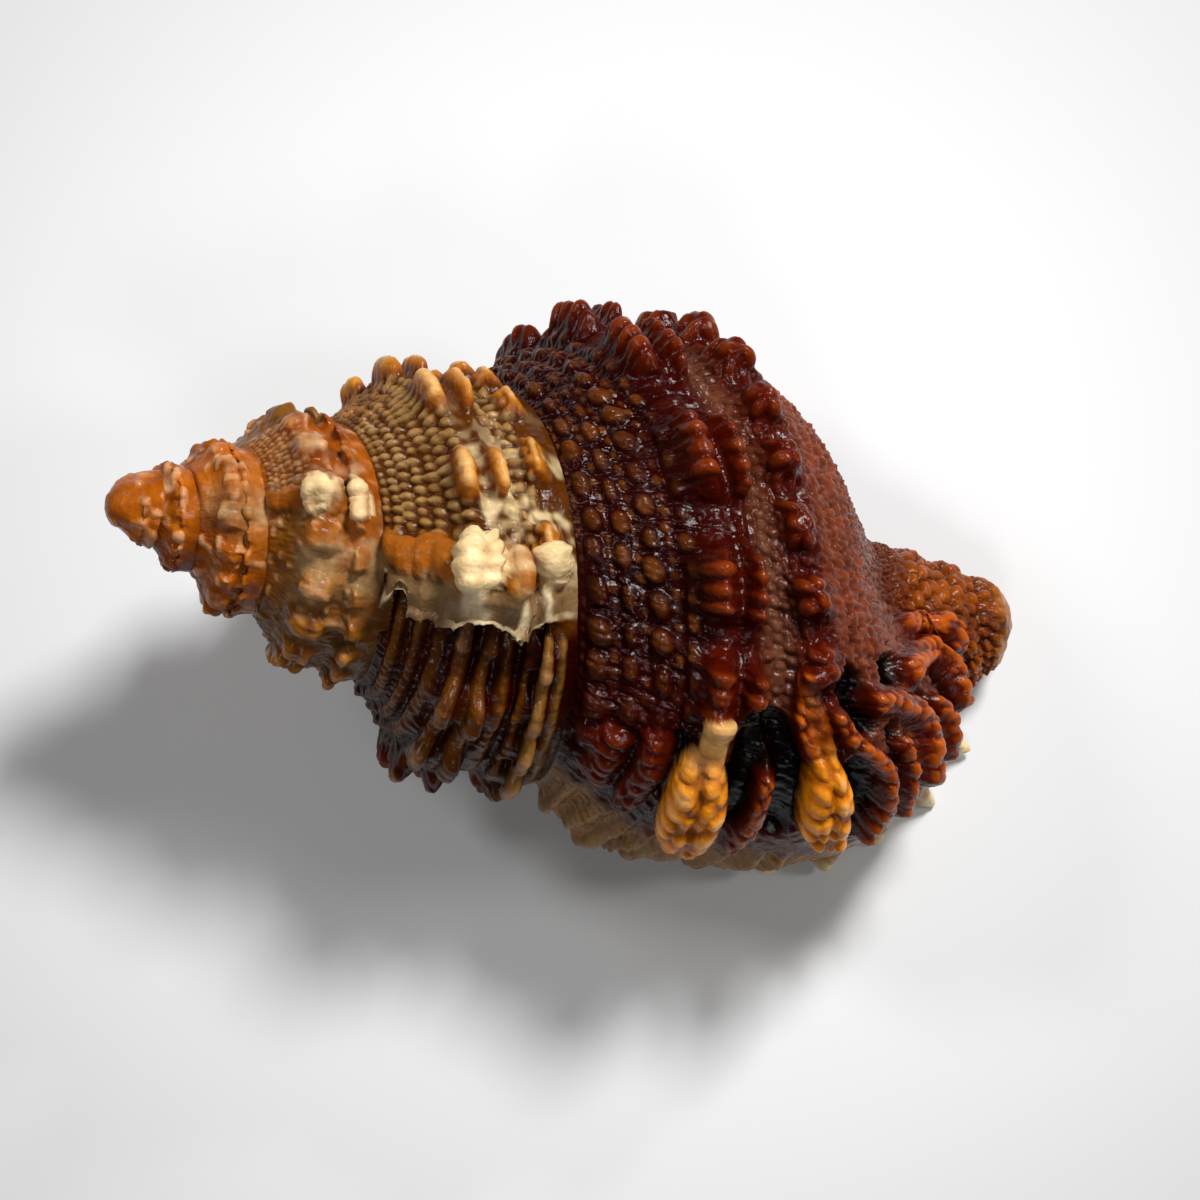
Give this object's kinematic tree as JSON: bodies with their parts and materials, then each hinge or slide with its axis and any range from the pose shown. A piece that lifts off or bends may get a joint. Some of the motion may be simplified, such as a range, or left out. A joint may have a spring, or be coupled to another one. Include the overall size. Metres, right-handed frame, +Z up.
{
  "type": "frog shell",
  "caption": "Knobbly right-handed sea shell with a pointed spire, thick ridged lip, open mouth and short canal, lying on its mouth side.",
  "frame": {"origin": "centre of the bounding box at the level of the surface that the shell lies on", "axes": "+X from the apex to the canal, +Z up, the outer lip at -Y and the mouth facing down"},
  "size_m": [0.0574, 0.0346, 0.0314],
  "materials": {
    "shell_brown": "wet gloss"
  },
  "bodies": {
    "root": {"shell": "shell_brown"}
  },
  "joints": []
}
